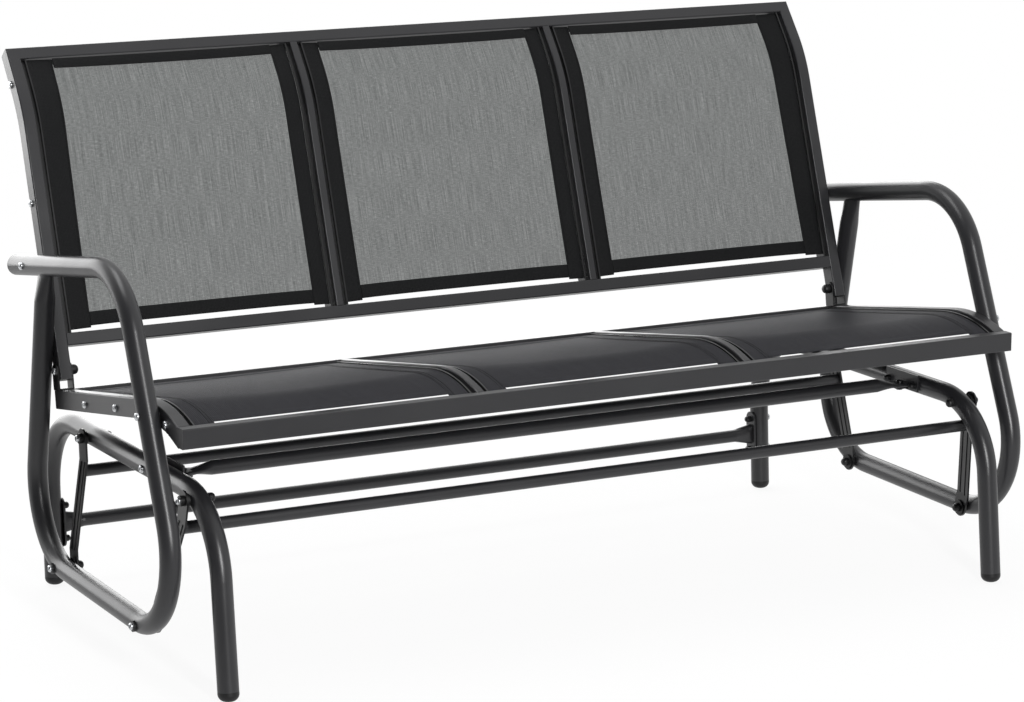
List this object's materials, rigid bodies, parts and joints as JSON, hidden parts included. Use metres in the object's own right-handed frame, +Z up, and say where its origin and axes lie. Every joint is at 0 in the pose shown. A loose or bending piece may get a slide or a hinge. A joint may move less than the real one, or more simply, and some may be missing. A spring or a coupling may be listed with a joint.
{
  "type": "glider bench",
  "caption": "Charcoal metal garden glider bench with sling seat and back, tube arms and a low base on swing links.",
  "frame": {"origin": "on the floor, under the middle of the bench's box", "axes": "+X along the bench towards a viewer's right hand in front of it, +Y towards the back, +Z up"},
  "size_m": [1.5196, 0.7536, 0.8672],
  "materials": {
    "powder_coat": "satin",
    "black_paint": "satin",
    "black_plastic": "matte",
    "zinc": "satin",
    "sling_rail": "matte",
    "back_mesh": "matte",
    "seat_mesh": "matte"
  },
  "bodies": {
    "base": {"base_bolts": "zinc", "base_frame_left": "powder_coat", "base_frame_right": "powder_coat", "base_nuts": "black_plastic", "cross_bracket_left": "powder_coat", "cross_bracket_right": "powder_coat", "cross_tube_bolts": "black_paint", "cross_tube_nuts": "black_paint", "foot_front_left": "black_plastic", "foot_front_right": "black_plastic", "foot_rear_left": "black_plastic", "foot_rear_right": "black_plastic", "front_cross_tube": "powder_coat", "rear_cross_tube": "powder_coat", "upper_pivot_bolts": "zinc", "upper_pivot_nuts": "black_plastic", "upper_pivot_washers": "black_plastic"},
    "front_links": {"front_link_bar": "powder_coat", "front_link_bushes": "black_plastic", "front_link_left": "black_paint", "front_link_right": "black_paint"},
    "rear_links": {"rear_link_bar": "powder_coat", "rear_link_bushes": "black_plastic", "rear_link_left": "black_paint", "rear_link_right": "black_paint"},
    "seat": {"arm_bolts": "zinc", "arm_end_plugs": "black_plastic", "arm_inserts": "zinc", "arm_loop_left": "powder_coat", "arm_loop_right": "powder_coat", "back_bolts": "zinc", "back_bottom_rail": "powder_coat", "back_brackets": "black_paint", "back_divider_left": "powder_coat", "back_divider_right": "powder_coat", "back_nuts": "black_plastic", "back_sling_left": "back_mesh", "back_sling_middle": "back_mesh", "back_sling_rails": "sling_rail", "back_sling_right": "back_mesh", "back_top_rail": "powder_coat", "back_upright_left": "powder_coat", "back_upright_right": "powder_coat", "divider_rivets": "zinc", "lower_pivot_bolts": "zinc", "lower_pivot_nuts": "black_plastic", "lower_pivot_washers": "black_plastic", "seat_divider_left": "powder_coat", "seat_divider_right": "powder_coat", "seat_front_rail": "powder_coat", "seat_rear_rail": "powder_coat", "seat_side_rail_left": "powder_coat", "seat_side_rail_right": "powder_coat", "seat_sling_left": "seat_mesh", "seat_sling_middle": "seat_mesh", "seat_sling_rails": "sling_rail", "seat_sling_right": "seat_mesh", "sling_screws": "zinc", "upright_plugs": "black_plastic"}
  },
  "joints": [
    {"name": "front_swing", "type": "hinge", "parent": "base", "child": "front_links", "pos_m": [0, -0.26334, 0.27794], "axis": [1, 0, 0], "range_deg": [-10, 10]},
    {"name": "rear_swing", "type": "hinge", "parent": "base", "child": "rear_links", "pos_m": [0, 0.13816, 0.286], "axis": [1, 0, 0], "range_deg": [-10, 10]},
    {"name": "seat_tilt", "type": "hinge", "parent": "front_links", "child": "seat", "pos_m": [0, -0.20835, 0.08349], "axis": [1, 0, 0], "range_deg": [-12.5, 12.5]}
  ],
  "couplings": [
    {"joint": "rear_swing", "follows": "front_swing", "ratio": 0.9921},
    {"joint": "seat_tilt", "follows": "front_swing", "ratio": -1.2036}
  ]
}
